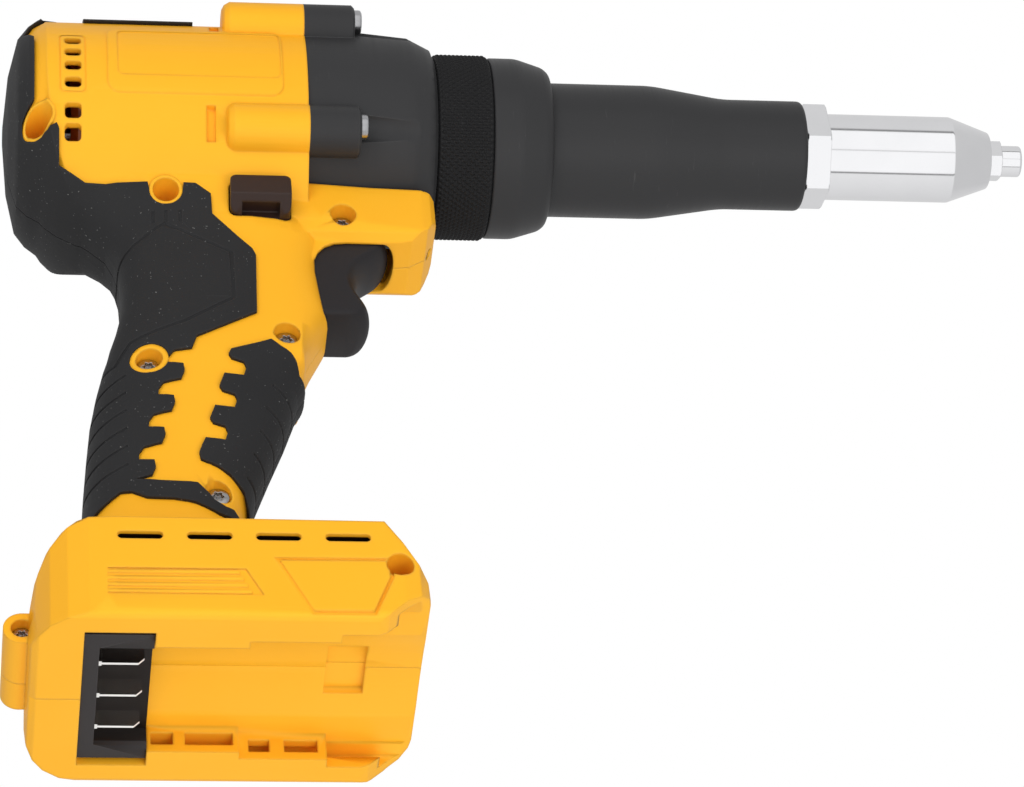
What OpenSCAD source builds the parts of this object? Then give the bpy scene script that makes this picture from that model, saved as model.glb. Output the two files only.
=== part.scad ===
// Battery rivet tool: pistol body, planetary drive, pulling screw, jaw head
// +X points to the muzzle, +Z up, the foot stands on z = 0

/* [Overall] */
// height of the barrel axis above the foot
axis_h = 208; // [200:1:220]
// length from the rear of the housing to the tip
tool_len = 301.4; // [299:0.2:304]
// radius of the motor housing
body_r = 33.5; // [32.5:0.25:35]
// wall thickness of the plastic shells
wall = 2.6; // [2.2:0.1:3]
// height of the soft grip above the plastic
grip_h = 1.2; // [0.8:0.1:1.6]
// clearance between pieces that do not move
fit = 0.05; // [0.02:0.01:0.1]
// clearance between pieces that slide or turn
run = 0.3; // [0.25:0.05:0.5]

/* [Handle] */
// half width of the handle
handle_hw = 16.6; // [15.5:0.1:18]
// half width of the nose block above the trigger
block_hw = 14; // [13.5:0.1:14.5]

/* [Foot] */
// half width of the battery foot
foot_hw = 36; // [35:0.5:39]
// height of the battery foot
foot_h = 33; // [32:0.5:34]
// height of the battery bay ceiling
bay_h = 12; // [11:0.5:13]
// width of the foot's rim beside the battery rails
rail_w = 8; // [7.5:0.5:8.5]
// thickness of the battery rails
rail_t = 3.6; // [3:0.1:4]

/* [Trigger and selector] */
// half width of the trigger
trigger_hw = 9.5; // [8.5:0.1:9.8]
// travel of the trigger
trigger_travel = 7; // [5:0.5:7]
// length of the reverse selector bar
selector_l = 38; // [36:0.5:39]
// travel of the reverse selector
selector_travel = 8; // [6:0.5:8]

/* [Drive] */
// wall of the gearbox case round the ring gear
case_wall = 5; // [4.6:0.1:5.4]
// teeth of each sun
sun_n = 12; // [12:12:12]
// radius of the pulling screw
screw_r = 6.5; // [6:0.1:6.6]
// radius of the motor shaft
shaft_r = 2.5; // [2:0.1:3]
// gap between the motor stator and the shell
stator_gap = 3.9; // [3.4:0.1:5]
// pull stroke of the jaw head
stroke = 20; // [16:1:20]

/* [Nose] */
// radius of the black front sleeve
sleeve_r = 19.65; // [19:0.05:20]
// radius of the bright nose sleeve
nose_r = 12.7; // [12.2:0.1:13.2]
// width across flats of the bright collar
collar_af = 27; // [26:0.5:28]
// width across flats of the nosepiece
piece_af = 10.6; // [10:0.1:11]
// radius of the mandrel hole
mandrel_r = 1.7; // [1.2:0.1:1.9]
// radius of the jaw case
jaw_case_r = 9; // [8.8:0.1:9.2]

/* [Hidden] */
$fn = 64;
rise = axis_h - 208;
girth = body_r / 33.5;
lug_x = 4.2;
lug_z = 10;
lug_y0 = -17.2;
lug_y1 = 10.8;
lug_r = 5;
x_back = lug_x - lug_r;
x_mid = (x_back + tool_len) / 2;
case_x = 86.2;
ring_x = 124.4;
sleeve_x = 140.9;
collar_x = 234.9;
piece_x = tool_len - 10;
planet_n = sun_n;
ring_n = sun_n + 2 * planet_n;
rail_hw = foot_hw - rail_w;
stator_r = body_r - wall - stator_gap;
rotor_r = stator_r * 0.537;
case_r = body_r - 0.5;
ring_gear_r = case_r - case_wall;
gear_m = (ring_gear_r - 5.5) * 2 / ring_n;
ring_r = 27.2 * girth;
flange_r = 26.5 * girth;
plate_r = body_r - wall - 0.1;
plate_x = 78;
bearing_r = 9.5;
nut_r = 14 * girth;
nut_tail_r = 10 * girth;
race_r = 22 * girth;
snout_r = 23.5 * girth;
snout_bore = 20.5 * girth;
spigot_r = 11.5;
rod_r = 5;
key_r = 2;
shank_r = 5;
switch_hw = handle_hw - wall - 1;
trigger_x = 82;
led_r = 1.8;
orbit = gear_m * (sun_n + planet_n) / 2;
tooth_gap = 0.16;
yellow = [0.99, 0.72, 0.15];
black = [0.16, 0.16, 0.16];
rubber = [0.2, 0.2, 0.2];
steel = [0.78, 0.78, 0.8];
bronze = [0.72, 0.55, 0.32];
copper = [0.78, 0.45, 0.25];

// handle sections: height, rear x, front x, half width, squareness
handle_rows = [
    [27, 19, 69, 3.4, 3], [34, 20, 66.4, 2.6, 3], [43, 21.2, 64.8, 1.2, 2.9],
    [55, 21.8, 65.2, 0.3, 2.8], [67, 22.5, 67.3, 0, 2.7], [80, 23.5, 72, 0, 2.7],
    [92, 24.6, 76.6, 0, 2.7], [103, 26.4, 80.3, 0.1, 2.7], [107.4, 27.4, 82.6, 0.2, 2.8],
    [110, 28.1, 88.4, 0.3, 3.2], [113, 29.1, 90.4, 0.3, 3.5], [117, 30, 91, 0.3, 3.6],
    [123, 31.7, 91.1, 0.3, 3.6], [130, 33.2, 90.8, 0.1, 3.6], [138, 34, 89.8, 0, 3.6],
    [147, 33.6, 88.8, 0, 3.6], [153, 32.2, 89, 0.2, 3.4], [158, 30, 90.5, 0.7, 3.2],
    [163, 25, 90, 1.2, 3], [170, 15.5, 88, 3, 2.8], [178, 12, 86, 5, 2.6], [184, 12, 86, 5, 2.6]];
loft_k = 48;

function up(z) = z <= foot_h ? z : z >= 158 ? z + rise
    : foot_h + (z - foot_h) * (158 + rise - foot_h) / (158 - foot_h);
function lift(pts) = [for (p = pts) [p[0], up(p[1])]];
// rounded section whose points are spread evenly by the direction they face
function row_pts(r, g) = let (cx = (r[1] + r[2]) / 2, a = (r[2] - r[1]) / 2 + g,
    b = handle_hw + r[3] + g, m = r[4] / (r[4] - 1))
    [for (i = [0 : loft_k - 1]) let (t = (i + 0.5) * 360 / loft_k, c = a * cos(t), s = b * sin(t),
        k = pow(pow(abs(c), m) + pow(abs(s), m), -1 / r[4]))
        [cx + a * sign(c) * pow(abs(c), m - 1) * k, b * sign(s) * pow(abs(s), m - 1) * k, up(r[0])]];
function fan_cap(s, flip) = [for (i = [1 : loft_k - 2])
    flip ? [s, s + i + 1, s + i] : [s, s + i, s + i + 1]];

module handle_form(g) {
    n = len(handle_rows);
    pts = [for (r = handle_rows) each row_pts(r, g)];
    sides = [for (j = [0 : n - 2]) for (i = [0 : loft_k - 1])
        let (a = j * loft_k + i, b = j * loft_k + (i + 1) % loft_k)
        each [[a, a + loft_k, b], [b, a + loft_k, b + loft_k]]];
    polyhedron(points = pts,
        faces = concat(sides, fan_cap(0, false), fan_cap((n - 1) * loft_k, true)));
}

module place() translate([-x_mid, 0, 0]) children();
module along_x(x0, x1, r, r2 = -1, fn = 64)
    translate([x0, 0, axis_h]) rotate([0, 90, 0])
        cylinder(h = x1 - x0, r1 = r, r2 = r2 < 0 ? r : r2, $fn = fn);
module along_y(x, z, y0, y1, r)
    translate([x, y0, z]) rotate([-90, 0, 0]) cylinder(h = y1 - y0, r = r);
module side_prism(pts, y0 = -60, y1 = 60)
    translate([0, y1, 0]) rotate([90, 0, 0]) linear_extrude(y1 - y0) polygon(pts);
module box(x0, x1, y0, y1, z0, z1)
    translate([x0, y0, z0]) cube([x1 - x0, y1 - y0, z1 - z0]);

// motor housing: round above the axis, keel below it
keel_d = 16;
module body_bar(g, x0, x1) {
    keel_r = body_r + keel_d;
    intersection() {
        along_x(x0, x1, body_r + g);
        box(x0 - 1, x1 + 1, -60, 60, axis_h - 1, axis_h + 60);
    }
    intersection() {
        translate([0, keel_d, 0]) along_x(x0, x1, keel_r + g, fn = 96);
        translate([0, -keel_d, 0]) along_x(x0, x1, keel_r + g, fn = 96);
        along_x(x0, x1, body_r + 10.3 + g);
        box(x0 - 1, x1 + 1, -60, 60, axis_h - 60, axis_h);
    }
}
module x_turn(pts) translate([0, 0, axis_h]) rotate([0, 90, 0])
    rotate_extrude($fn = 96) polygon([for (p = pts) [p[1], p[0]]]);
module x_prism(pts, x0, x1) translate([x0, 0, 0]) rotate([90, 0, 90])
    linear_extrude(x1 - x0) polygon(pts);
module body_end(g) x_turn([[1.1 - g, 0], [1.1 - g, 3], [2.4 - g, 17.4 * girth],
    [5 - g, 28.2 * girth], [8 - g, 31.4 * girth + g / 2], [11.4 - g, body_r - 0.3 + g],
    [12.8 - g, body_r + 1.7 + g], [16.5 - g, body_r + 5.2 + g], [22 - g, body_r + 8.6 + g],
    [28, body_r + 10.6 + g], [60, body_r + 16 + g], [case_x + 1, body_r + 16 + g],
    [case_x + 1, 0]]);
module body_form(g) intersection() {
    body_bar(g, -2, case_x);
    body_end(g);
    side_prism([[-9, axis_h - 18], [-9, axis_h + 70], [case_x, axis_h + 70],
        [case_x, axis_h - 40], [64, axis_h - 45], [30 - g, axis_h - 46 - g],
        [24 - g, axis_h - 44.8 - g], [17.5 - g, axis_h - 42.3 - g], [10 - g, axis_h - 37.5 - g],
        [3.5 - g, axis_h - 30.5 - g]]);
}
module block_form(g) intersection() {
    translate([0, 0, axis_h - 52]) linear_extrude(32)
        polygon([[62, -block_hw - 2.8 - g], [90, -block_hw - 1 - g], [104, -block_hw - g],
            [119, -block_hw + 0.6 - g], [121.6 + g / 2, -block_hw + 1.6 - g],
            [122.9 + g, -block_hw + 3.4 - g], [123.4 + g, -block_hw + 6], [123.4 + g, block_hw - 6],
            [122.9 + g, block_hw - 3.4 + g], [121.6 + g / 2, block_hw - 1.6 + g],
            [119, block_hw - 0.6 + g], [104, block_hw + g],
            [90, block_hw + 1 + g], [62, block_hw + 2.8 + g]]);
    side_prism([[62, axis_h - 22], [120.4 + g, axis_h - 22], [120.4 + g, axis_h - 30.8],
        [122.2 + g, axis_h - 31.6], [123.2 + g, axis_h - 33], [123.4 + g, axis_h - 34.6],
        [123.4 + g, axis_h - 40], [120.4 + g, axis_h - 46 - g],
        [115.8 + g / 2, axis_h - 49 - g], [111.5, axis_h - 49.4 - g], [62, axis_h - 49.4 - g]]);
    x_prism([for (s = [1, -1]) for (i = [0 : 4]) let (k = s > 0 ? i : 4 - i,
        p = [[20 + g, -19], [20 + g, -40], [block_hw + 0.4 + g, -44.2],
            [block_hw - 1 + g, -47.6 - g * 0.6], [block_hw - 3.6 + g, -49.45 - g]][k])
        [s * p[0], axis_h + p[1]]], 60, 130);
}
foot_plan = [[5.4, 0], [5.4, 16], [6.2, 21], [8.1, 26], [11, 30.4], [15.5, 33.7], [21, 35.4],
    [28, 36], [103.5, 36], [107.6, 34.6], [110, 31.6], [110.9, 27], [110.9, 0]];
module foot_form() intersection() {
    linear_extrude(foot_h + 3) scale([1, foot_hw / 36]) polygon(concat(foot_plan,
        [for (i = [len(foot_plan) - 2 : -1 : 1]) [foot_plan[i][0], -foot_plan[i][1]]]));
    side_prism([[8.2, 0], [6.4, 1.2], [5.7, 4], [5.8, 12], [7.2, 19.4], [10, 25.2], [14, 29.7],
        [18, foot_h - 0.7], [21, foot_h], [98.9, foot_h - 0.5], [110.2, 14.6], [110.9, 13.1],
        [110.6, 10.2], [104.4, 6], [98.7, 1], [96.5, 0]]);
    x_prism([for (s = [1, -1]) for (i = [0 : 4]) let (k = s > 0 ? i : 4 - i,
        p = [[0, foot_h + 3], [0, 2], [0.35, 1], [1, 0.35], [2.2, 0]][k])
        [s * (foot_hw - p[0]), p[1]]], 0, 120);
}
// screw bosses that join housing and gearbox
boss_c = body_r + 2.6;
boss_yz = [for (a = [36.5, 143.5, 216.5, 323.5]) [boss_c * cos(a), boss_c * sin(a)]];
boss_at = [26.2 * girth, 20.8 * girth];
boss_r = 7.5;
module boss_bars(x0, x1, r) for (p = boss_yz)
    translate([0, p[0], p[1]]) along_x(x0, x1, r);
module bosses(x0, x1, g = 0, rear = 0, fore = 0) for (s = [-1, 1]) for (t = [-1, 1])
    translate([0, s * boss_at[0], t * boss_at[1]]) {
        along_x(x0 + rear, x1 - fore, boss_r + g);
        if (rear > 0) {
            along_x(x0, x0 + rear * 0.3, boss_r - rear, boss_r - rear * 0.42);
            along_x(x0 + rear * 0.3, x0 + rear, boss_r - rear * 0.42, boss_r);
        }
        if (fore > 0) along_x(x1 - fore, x1, boss_r, boss_r - fore);
    }

// places of the housing screws: x, z, depth of the head, end of the thread
rim_at = [39.5, up(106.8)];
web_at = [45.4, up(168.8)];
tail_at = [9.5, up(188.3)];
screw_at = [[96.1, up(165.9), 8, 9], [78.1, up(117.9), 11, 9], [rim_at[0], rim_at[1], 11, 9],
    [57.3, up(60), 11, 9], [web_at[0], web_at[1], 9, 10], [tail_at[0], tail_at[1], 13, 12]];
well_r = 3.75;
thread_r = 1.6;
function head_y(s) = -s[2];

function round_box(x0, x1, z0, z1, r) = [for (k = [0 : 3]) for (a = [0 : 22.5 : 90])
    [(k == 0 || k == 3 ? x1 - r : x0 + r) + r * cos(90 * k + a),
        (k < 2 ? z1 - r : z0 + r) + r * sin(90 * k + a)]];
function selector_pts(c) = lift(round_box(63.5 - c, 80.8 + c, 161.7 - c, 172.2 + c, 1.8 + c));

// trigger front in plan: middle, half width, how far the sides lie behind the middle
function trigger_arc(x, w, b) = [for (t = [-90 : 15 : 90]) [x - b + b * cos(t), w * sin(t)]];
trigger_bulge = 3.5;
trigger_rows = [[131.7, 99.6], [132.3, 101.6], [133.6, 102.9], [135.4, 103.3], [137.6, 102.6],
    [140.4, 101], [143.6, 99.7], [147, 99.4], [150.4, 100.4], [153.4, 102.6], [155.8, 105.6],
    [157.6, 108], [159.2, 109.3], [160.6, 109.6]];
trigger_fillet = [[84, 149], [87, 150.4], [87.75, 152.2], [88.67, 154.5], [90.68, 156.8],
    [93.48, 158.2], [97, 158.6], [97, 160], [84, 160]];
module trigger_slot() translate([0, 0, up(131.7) - run]) linear_extrude(up(161.6) - up(131.7) + run)
    polygon(concat([[76, trigger_hw + run], [76, -trigger_hw - run]],
        trigger_arc(111.2, trigger_hw + run, trigger_bulge)));

// hollow of the shells
module inner_form() {
    intersection() {
        along_x(3, 86, body_r - wall);
        body_end(-wall);
    }
    body_bar(-2, 16.2, 23.4);
    intersection() {
        handle_form(-wall);
        box(0, 130, -60, 60, 36, up(180));
    }
    intersection() {
        block_form(-wall);
        box(66, 130, -60, 60, axis_h - 46.8, axis_h - 20);
    }
    intersection() {
        foot_form();
        box(24, 96.5, -foot_hw + 4, foot_hw - 4, bay_h + wall, foot_h - wall);
    }
    box(28, 60, -13, 13, foot_h - 6, 38);
    along_x(case_x - 5, case_x + 1, ring_gear_r + 0.2 + fit);
}

// battery bay under the foot, with pocketed rails on both sides
bay_x = 20;
module rail() difference() {
    union() {
        box(38.5, 63.2, rail_hw - 6, rail_hw + 1, -2, bay_h - 2);
        box(63, 87, rail_hw - 3.2, rail_hw + 1, -2, bay_h - 2);
    }
    for (p = [[39.6, 45.6], [48.8, 61.6], [66, 71.6], [75.6, 84.6]])
        box(p[0], p[1], rail_hw - 8, rail_hw + 2, rail_t - 1, rail_t + 3);
    box(30, 130, rail_hw - 0.2, rail_hw + 4.6, rail_t, rail_t + 4.6);
}
module bay() difference() {
    union() {
        box(bay_x - fit, 130, -rail_hw, rail_hw, -1, bay_h - 3);
        intersection() {
            box(bay_x - fit, 130, -rail_hw + 2, rail_hw - 2, 0, bay_h + 1);
            translate([0, 0, bay_h - 55]) rotate([0, 90, 0]) cylinder(h = 130, r = 55, $fn = 96);
        }
        for (s = [-1, 1])
            box(38.5, 130, s * (rail_hw + 2.2) - 2.4, s * (rail_hw + 2.2) + 2.4, rail_t, rail_t + 4.6);
        box(85.2, 95.8, -10, 10, 0, bay_h + 1.6);
    }
    rail();
    mirror([0, 1, 0]) rail();
}

// marks on the outside of the shells
vents = [[5.2, 3.1], [0, 3.1], [-5.4, 3.4], [-11.4, 3.5], [-20.7, 4.5], [-26.7, 4.7]];
foot_ribs = [7.9, 10.1, 12.3, 14.5];
rib_panel = [[25.8, 6.8], [66.2, 6.8], [61.8, 15.6], [25.8, 15.6]];
badge = [[69.3, 19.6], [78.5, 0.9], [95.3, 0.9], [100.5, 13.4], [100.5, 19.9]];
badge_in = [[70.9, 18.7], [79.1, 1.9], [94.7, 1.9], [99.5, 13.6], [99.5, 19]];
// slot with round ends, cut right across the width
module y_slot(x0, x1, z0, z1, y0 = -60, y1 = 60, r = 1.2) {
    box(x0 + r, x1 - r, y0, y1, z0, z1);
    box(x0, x1, y0, y1, z0 + r, z1 - r);
    for (x = [x0 + r, x1 - r]) for (z = [z0 + r, z1 - r]) along_y(x, z, y0, y1, r);
}
module outer_cuts() {
    for (v = vents) y_slot(16.7, 21.4, axis_h + v[0], axis_h + v[0] + v[1]);
    difference() {
        y_slot(15.2, 22.8, axis_h - 13, axis_h + 9.8, r = 1.4);
        y_slot(15.6, 22.4, axis_h - 12.6, axis_h + 9.4, -61, 61);
        body_bar(-0.25, 10, 30);
    }
    difference() {
        box(57, 59.6, -60, 60, axis_h - 26, axis_h - 16);
        body_bar(-2, 50, 70);
    }
    difference() {
        y_slot(31.8, 78.5, axis_h - 7, axis_h + 12.6, r = 2);
        body_bar(0.3, 20, 90);
    }
    difference() {
        box(58.8, 61.6, -60, 0, axis_h + 15.5, axis_h + 19.5);
        along_x(50, 70, body_r - 1.2);
    }
    for (s = [-1, 1]) {
        for (x = [28.5, 46.7, 64.8, 83.1])
            y_slot(x, x + 11.9, 25.4, 28, s * (foot_hw - 2.5) - 3.6, s * (foot_hw - 2.5) + 3.6);
        difference() {
            side_prism(rib_panel, s * foot_hw - 0.55, s * foot_hw + 0.55);
            for (z = foot_ribs)
                box(20, 66.6 - z * 0.45, s * foot_hw - 2, s * foot_hw + 2, z - 0.55, z + 0.55);
        }
        difference() {
            side_prism(badge, s * foot_hw - 0.8, s * foot_hw + 0.8);
            side_prism(badge_in, s * foot_hw - 2, s * foot_hw + 2);
        }
    }
    along_y(102.4, 17.9, -60, 60, 3.7);
}

// raised rims of the wells that lie inside the soft grip
module well_rim(y, at, r) intersection() {
    skin(grip_h * 0.7);
    along_y(at[0], at[1], -60, -y / 2, r);
}

module shell() difference() {
    union() {
        body_form(0);
        handle_form(0);
        block_form(0);
        foot_form();
        side_prism(lift(trigger_fillet), -trigger_hw - run - 0.95, trigger_hw + run + 0.95);
        intersection() {
            y_slot(28.9, 79, axis_h - 12.8, axis_h + 14, r = 3.5);
            body_bar(0.6, 20, 90);
        }
        bosses(62.5, case_x, rear = 2.2);
        along_y(lug_x, lug_z, lug_y0, lug_y1, lug_r);
        box(lug_x, 8, lug_y0, lug_y1, lug_z - lug_r + fit, lug_z + lug_r);
        well_rim(handle_hw, rim_at, 5.3);
        well_rim(body_r, tail_at, 4.5);
        well_rim(body_r, web_at, 4.7);
    }
    difference() {
        union() {
            inner_form();
            bay();
        }
        for (s = screw_at) along_y(s[0], s[1], -50, 50, 5);
        difference() {
            union() {
                along_x(8, 16, body_r);
                along_x(27, 29.5, body_r);
                along_x(50.5, 53, body_r);
            }
            along_x(26, 54, stator_r + fit);
            along_x(8.6, 15.6, bearing_r + fit);
            along_x(0, 20, 6);
        }
    }
    along_x(8.6, 15.6, bearing_r + fit);
    outer_cuts();
    side_prism(selector_pts(run));
    trigger_slot();
    for (s = screw_at) {
        along_y(s[0], s[1], -60, head_y(s), well_r);
        along_y(s[0], s[1], -30, s[3], thread_r + fit);
    }
    boss_bars(66, case_x + 1, thread_r + fit);
    along_y(lug_x, lug_z, -40, lug_y0 + 5, 2.9 + fit);
    along_y(lug_x, lug_z, -40, lug_y1 - 2, thread_r + fit);
    along_x(plate_x - fit, case_x + 1, plate_r + fit);
    case_form(fit);
    box(case_x, 130, -60, 60, axis_h - 31, axis_h + 100);
    led_place() cylinder(h = 12, r = led_r, center = true);
}
module housing_right() place() color(yellow) intersection() {
    shell();
    box(-10, 130, -60, 0, -5, axis_h + 60);
}
module housing_left() place() color(yellow) intersection() {
    shell();
    box(-10, 130, 0.02, 60, -5, axis_h + 60);
}

// soft grips that lie proud on the shells
tooth_step = [-2.9, -11.8];
rear_tooth = [[44.8, 107.3], [44.6, 104.8], [48.8, 104.4], [49.1, 102.1], [48.1, 99.1], [43.2, 97.7]];
front_tooth = [[61.4, 108.4], [62.2, 106.8], [65.5, 105.9], [66.2, 103.9], [65.4, 101], [60, 101.1]];
rear_outline = lift(concat([[-10, 250], [15.2, 250], [15.2, 237.6], [11.2, 236.8], [5.4, 222.8], [8.1, 217.6],
    [8.1, 194.2], [6.1, 192.3], [4.8, 190.4], [4.8, 188.2], [5.6, 186.3], [7, 185.1], [9.4, 184.4],
    [11.8, 183.8], [14.4, 185.2], [15.1, 183.7], [15.2, 174.9], [22.7, 171.4], [40.2, 170.9],
    [40.6, 168.8], [42.3, 166.4], [45.4, 165.5], [48.3, 166.4], [50.1, 168.8], [50.4, 170.9],
    [53.8, 170.8], [58.1, 167.6], [58.4, 161], [69.4, 148.6], [70.3, 146.2], [69.8, 124.5], [52.8, 115],
    [51.3, 110.4], [46.4, 109.4]],
    [for (i = [0 : 3]) each [for (p = rear_tooth) p + i * tooth_step]],
    [[41.4, 61.6], [51.6, 61.2], [54.3, 58.1], [56.1, 55.7], [59, 54.4], [61.4, 54.4],
    [64.4, 50.8], [57.4, 51.3], [50.8, 54.3], [45.1, 55.4], [37.9, 55.6], [33.7, 58],
    [30.8, 58.3], [24, 53.4], [19, 48.5], [-10, 48.5]]));
front_outline = lift(concat([[69.7, 112.6], [62.2, 110.1]],
    [for (i = [0 : 2]) each [for (p = front_tooth) p + i * tooth_step]],
    [[53.2, 75], [52.3, 72.2], [52.7, 69.9], [57, 68.4], [60.8, 66.3], [64.6, 62.8], [66, 58],
    [66, 50], [95, 50], [95, 107.2], [81.6, 107.2], [80.4, 108.8], [78.6, 110.3], [76.2, 111.8],
    [73.4, 114]]));
module skin(g) {
    body_form(g);
    handle_form(g);
}
// shallow slanted grooves for the fingers and a seam round the web pad
grip_groove = 0.35;
seam = 0.2;
pad_seam = [[31, 148.7], [44.7, 158], [64, 147.4], [64, 129.3], [50, 119.8], [35, 113.4], [30.6, 106.6],
    [20, 106.6], [20, 148.7]];
pad_inside = [[31.3, 147.8], [44.7, 156.9], [63, 146.8], [63, 129.9], [49.5, 120.7], [34.4, 114.2],
    [30, 107.6], [20, 107.6], [20, 147.8]];
module grip_grooves() difference() {
    union() {
        for (i = [0 : 5]) translate([24, 0, up(64 + 6.8 * i)]) rotate([0, -24, 0])
            box(-20, 10, -60, 60, -0.45, 0.45);
        for (i = [0 : 4]) translate([70 + 2 * i, 0, up(66 + 8 * i)]) rotate([0, 24, 0])
            box(-5, 20, -60, 60, -0.45, 0.45);
        for (x = [41.7, 45.3, 49.3]) box(x - 0.45, x + 0.45, -60, 60, up(157.8), up(162));
        difference() {
            side_prism(lift(pad_seam));
            side_prism(lift(pad_inside), -61, 61);
        }
    }
    skin(grip_h - grip_groove);
}
module rear_grip(y0, y1) intersection() {
    difference() {
        skin(grip_h);
        grip_grooves();
        skin(fit);
        block_form(fit);
        along_y(rim_at[0], rim_at[1], -60, 60, 5.4);
        along_y(tail_at[0], tail_at[1], -60, 60, 4.6);
        along_y(web_at[0], web_at[1], -60, 60, 4.8);
        bosses(60, case_x, fit);
        side_prism(selector_pts(1));
    }
    side_prism(rear_outline, y0, y1);
}
module front_grip(y0, y1) intersection() {
    difference() {
        handle_form(grip_h);
        handle_form(fit);
        grip_grooves();
    }
    side_prism(front_outline, y0, y1);
}
module rear_grip_right() place() color(rubber) rear_grip(-60, -seam);
module rear_grip_left() place() color(rubber) rear_grip(seam, 60);
module front_grip_right() place() color(rubber) front_grip(-60, -seam);
module front_grip_left() place() color(rubber) front_grip(seam, 60);
module top_pad() place() color(rubber) intersection() {
    difference() {
        along_x(22.7, 54.2, body_r + grip_h);
        along_x(20, 60, body_r + fit);
    }
    box(20, 60, -60, 60, axis_h + 21.5, axis_h + 60);
}

// screws with a round head and a six-lobe socket
module y_screw(x, z, y_head, y_end, head_r) difference() {
    union() {
        along_y(x, z, y_head - 2.2, y_head, head_r);
        along_y(x, z, y_head - 0.5, y_end, thread_r);
    }
    along_y(x, z, y_head - 3, y_head - 1, 1.5);
}
module housing_screws() place() color(steel) {
    for (s = screw_at) y_screw(s[0], s[1], head_y(s), s[3] - 1, 3.2);
    y_screw(lug_x, lug_z, lug_y0 + 5, lug_y1 - 3, 2.8);
}
module gearbox_screws() place() color(steel) for (p = boss_yz) translate([0, p[0], p[1]])
    difference() {
        union() {
            along_x(101 + fit, 103.2, 3.6);
            along_x(68, 101.5, thread_r);
        }
        along_x(102, 104, 1.6);
    }

// gearbox case, plate and knurled ring
module case_form(g) {
    along_x(case_x, 101, case_r + g, fn = 96);
    along_x(101, 116.8, case_r + g, case_r - 1.4 + g, fn = 96);
    along_x(116.8, 123.4, case_r - 1.4 + g, 28.4 * girth + g, fn = 96);
}
module gearbox_case() place() color(black) difference() {
    union() {
        case_form(0);
        along_x(123.3, ring_x, 26.4 * girth, fn = 96);
        along_x(ring_x - 0.5, sleeve_x - fit, snout_r);
        bosses(case_x, 101, fore = 0.8);
    }
    along_x(case_x - 1, 107.8, ring_gear_r + fit);
    along_x(107, ring_x, race_r + fit);
    along_x(120, sleeve_x + 1, snout_bore);
    boss_bars(101, 130, 5.3);
    boss_bars(case_x - 1, 110, thread_r + fit);
}
module gearbox_plate() place() color(steel) difference() {
    union() {
        along_x(plate_x, 83.7, plate_r);
        along_x(71.5, 78.5, 13);
    }
    along_x(70, 77.5, bearing_r + fit);
    along_x(77, 90, 5);
    for (a = [45 : 90 : 315]) translate([0, 0, axis_h]) rotate([a, 0, 0])
        translate([0, 0, -axis_h + 21 * girth]) along_x(77, 85, 4);
}
module knurled_ring() place() color(black) difference() {
    union() {
        along_x(ring_x, ring_x + 0.8, ring_r - 0.8, ring_r);
        along_x(ring_x + 0.8, sleeve_x - 0.8, ring_r);
        along_x(sleeve_x - 0.8, sleeve_x, ring_r, ring_r - 0.8);
    }
    along_x(ring_x - 1, sleeve_x + 1, snout_r + fit);
}
key_x = 180;
function neck_r(k) = sleeve_r + (flange_r - sleeve_r) * k;
tail_r = sleeve_r - 3.45;
module front_sleeve() place() color(black) difference() {
    x_turn([[sleeve_x, screw_r + 0.5], [sleeve_x, flange_r - 0.5], [sleeve_x + 0.6, flange_r],
        [149, flange_r], [156.8, neck_r(0.635)], [158, neck_r(0.518)], [158.8, neck_r(0.285)],
        [158.95, sleeve_r], [collar_x - 45.4, sleeve_r], [collar_x - 24, tail_r],
        [collar_x - 1.6, tail_r], [collar_x - 0.5, tail_r - 0.45], [collar_x, tail_r - 1.45],
        [collar_x, spigot_r + fit], [collar_x - 14.5, spigot_r + fit], [collar_x - 14.5, rod_r + run],
        [collar_x - 31, rod_r + run], [collar_x - 31, 8], [161, 8], [161, screw_r + 0.5]]);
    translate([key_x, 0, axis_h]) cylinder(h = 30, r = key_r + fit);
}
module guide_key() place() color(steel) translate([key_x, 0, axis_h + 2.6])
    cylinder(h = sleeve_r - 3.2, r = key_r);

// bright nose with collar, tip and jaws
nose_bore = jaw_case_r + run;
module nose_sleeve() place() color(steel) difference() {
    union() {
        along_x(collar_x - 14, collar_x + 1, spigot_r);
        translate([collar_x, 0, axis_h]) rotate([0, 90, 0]) rotate([0, 0, 51.7])
            cylinder(h = 7.1, r = collar_af / 2 / cos(30), $fn = 6);
        along_x(collar_x + 6, piece_x - 12, nose_r);
        along_x(piece_x - 12, piece_x, nose_r, nose_r - 4.4);
    }
    along_x(collar_x - 16, piece_x - 9, nose_bore);
    along_x(piece_x - 10, piece_x + 1, shank_r + fit);
}
module nosepiece() place() color(steel) difference() {
    union() {
        along_x(282, 284.5, 3.6);
        along_x(284.3, piece_x + 0.5, shank_r);
        translate([piece_x, 0, axis_h]) rotate([0, 90, 0])
            cylinder(h = 3.8, r = piece_af / 2 / cos(30), $fn = 6);
        along_x(piece_x + 3.6, tool_len - 0.6, 4.6);
        along_x(tool_len - 0.6, tool_len, 4.6, 4);
    }
    along_x(280, tool_len + 1, mandrel_r);
}
cone_x0 = 262;
cone_x1 = 281.5;
cone_r0 = jaw_case_r - 1.6;
cone_r1 = jaw_case_r - 4.4;
cone_a = atan((cone_r0 - cone_r1) / (cone_x1 - cone_x0));
function cone_r(x) = cone_r0 - (x - cone_x0) * tan(cone_a);
module jaw_case() place() color(steel) difference() {
    along_x(246, cone_x1, jaw_case_r);
    along_x(245, 251, rod_r + fit);
    along_x(250, cone_x0, cone_r0);
    along_x(cone_x0 - 0.01, cone_x1 + 0.01, cone_r0, cone_r1);
}
jaw_x0 = 267;
jaw_x1 = 279;
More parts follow.
